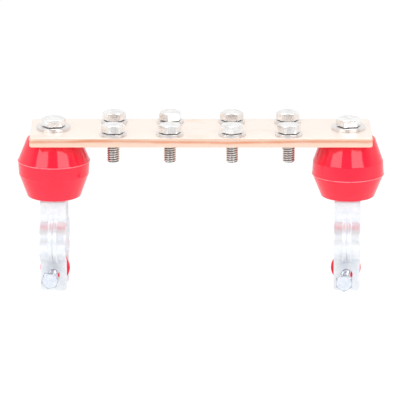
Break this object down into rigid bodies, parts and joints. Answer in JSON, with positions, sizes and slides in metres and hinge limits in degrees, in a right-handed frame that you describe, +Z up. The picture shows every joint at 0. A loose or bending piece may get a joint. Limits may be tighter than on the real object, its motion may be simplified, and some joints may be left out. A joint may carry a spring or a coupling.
{
  "type": "earth terminal bar",
  "caption": "Drilled copper bar with bolted earth terminals, standing on two red drum insulators with pressed steel pipe hangers.",
  "frame": {"origin": "middle of the part's own box, on the plane that the hangers' feet stand on", "axes": "+X along the copper bar, +Y from the clamp screw heads towards the rear, +Z up"},
  "size_m": [0.2317, 0.054, 0.1107],
  "materials": {
    "copper": "drawn copper, lightly stained",
    "insulator_red": "glossy moulded thermoset, red",
    "disc_red": "smooth red plastic",
    "insert_brass": "turned brass",
    "strap_zinc": "bright zinc plated pressed steel",
    "screw_zinc": "zinc plated steel",
    "stainless": "plain stainless steel"
  },
  "bodies": {
    "root": {"copper_bar": "copper", "terminal_bolt_1": "stainless", "terminal_washer_1": "stainless", "terminal_bolt_2": "stainless", "terminal_washer_2": "stainless", "terminal_bolt_3": "stainless", "terminal_washer_3": "stainless", "terminal_bolt_4": "stainless", "terminal_washer_4": "stainless", "terminal_bolt_5": "stainless", "terminal_washer_5": "stainless", "terminal_bolt_6": "stainless", "terminal_washer_6": "stainless", "terminal_bolt_7": "stainless", "terminal_washer_7": "stainless", "terminal_bolt_8": "stainless", "terminal_washer_8": "stainless", "insulator_left": "insulator_red", "insulator_right": "insulator_red", "insert_top_left": "insert_brass", "insert_top_right": "insert_brass", "insert_bottom_left": "insert_brass", "insert_bottom_right": "insert_brass", "end_bolt_left": "stainless", "end_bolt_right": "stainless", "end_washer_left": "stainless", "end_washer_right": "stainless", "hanger_strap_left": "strap_zinc", "hanger_strap_right": "strap_zinc", "hanger_bolt_left": "stainless", "hanger_bolt_right": "stainless", "hanger_washer_left": "stainless", "hanger_washer_right": "stainless", "clamp_screw_left": "screw_zinc", "clamp_screw_right": "screw_zinc", "clamp_nut_left": "screw_zinc", "clamp_nut_right": "screw_zinc", "retaining_disc_left": "disc_red", "retaining_disc_right": "disc_red"}
  },
  "joints": []
}
